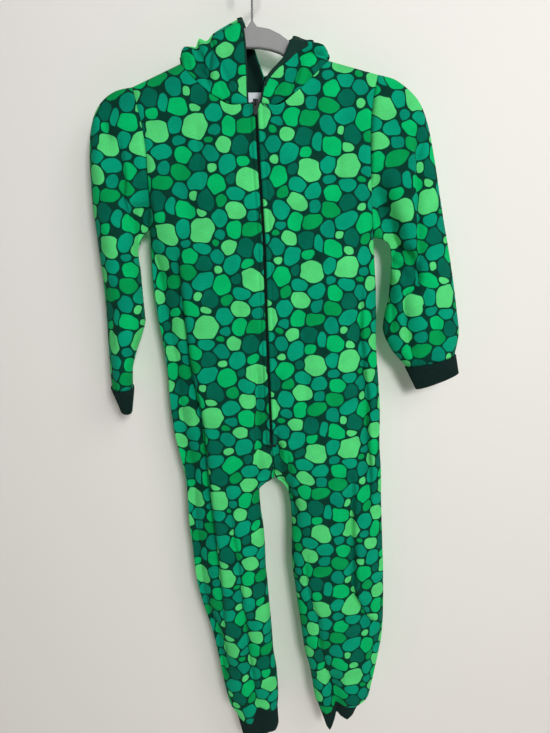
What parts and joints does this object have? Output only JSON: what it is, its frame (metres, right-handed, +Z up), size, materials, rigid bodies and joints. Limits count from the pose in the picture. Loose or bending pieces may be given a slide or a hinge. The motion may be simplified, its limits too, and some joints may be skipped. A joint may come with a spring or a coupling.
{
  "type": "onesie pajama on a hanger",
  "caption": "Child's hooded one-piece fleece pajama with a front zip and knit cuffs, hanging flat and empty on a plastic hanger.",
  "frame": {"origin": "inside the top of the hanger's hook, on the wire's lower face, where a rod bears", "axes": "+Z up along the hook, -Y out of the garment's front, +X to the wearer's left"},
  "size_m": [0.556, 0.083, 1.2425],
  "materials": {
    "printed_fleece": "matte brushed polyester fleece, printed with rounded pebbles in pale green, green and teal on dark green",
    "hood_lining": "matte near-black green jersey",
    "rib_knit": "matte fine rib knit, near-black green",
    "label_tape": "blank bluish-white woven satin label",
    "zip_tape": "dark green woven polyester tape",
    "zip_coil": "dark green nylon coil",
    "zip_metal": "dark enamelled zinc",
    "hanger_plastic": "moulded grey polypropylene, fine matte grain",
    "hook_wire": "drawn bright steel wire"
  },
  "bodies": {
    "garment": {"front_left": "printed_fleece", "front_right": "printed_fleece", "back_left": "printed_fleece", "back_right": "printed_fleece", "sleeve_left": "printed_fleece", "sleeve_right": "printed_fleece", "cuff_left": "rib_knit", "cuff_right": "rib_knit", "ankle_cuff_left": "rib_knit", "ankle_cuff_right": "rib_knit", "hood_left": "printed_fleece", "hood_right": "printed_fleece", "hood_lining_left": "hood_lining", "hood_lining_right": "hood_lining", "neck_label": "label_tape", "zip_tape": "zip_tape", "zip_chain": "zip_coil", "zip_slider": "zip_metal", "hanger_body": "hanger_plastic", "hanger_hook": "hook_wire"},
    "pull_tab": {"zip_pull": "zip_metal"}
  },
  "joints": [
    {"name": "pull_tab_hinge", "type": "hinge", "parent": "garment", "child": "pull_tab", "pos_m": [0.005, -0.0296, -0.173], "axis": [-1, 0, 0], "range_deg": [0, 150]}
  ]
}
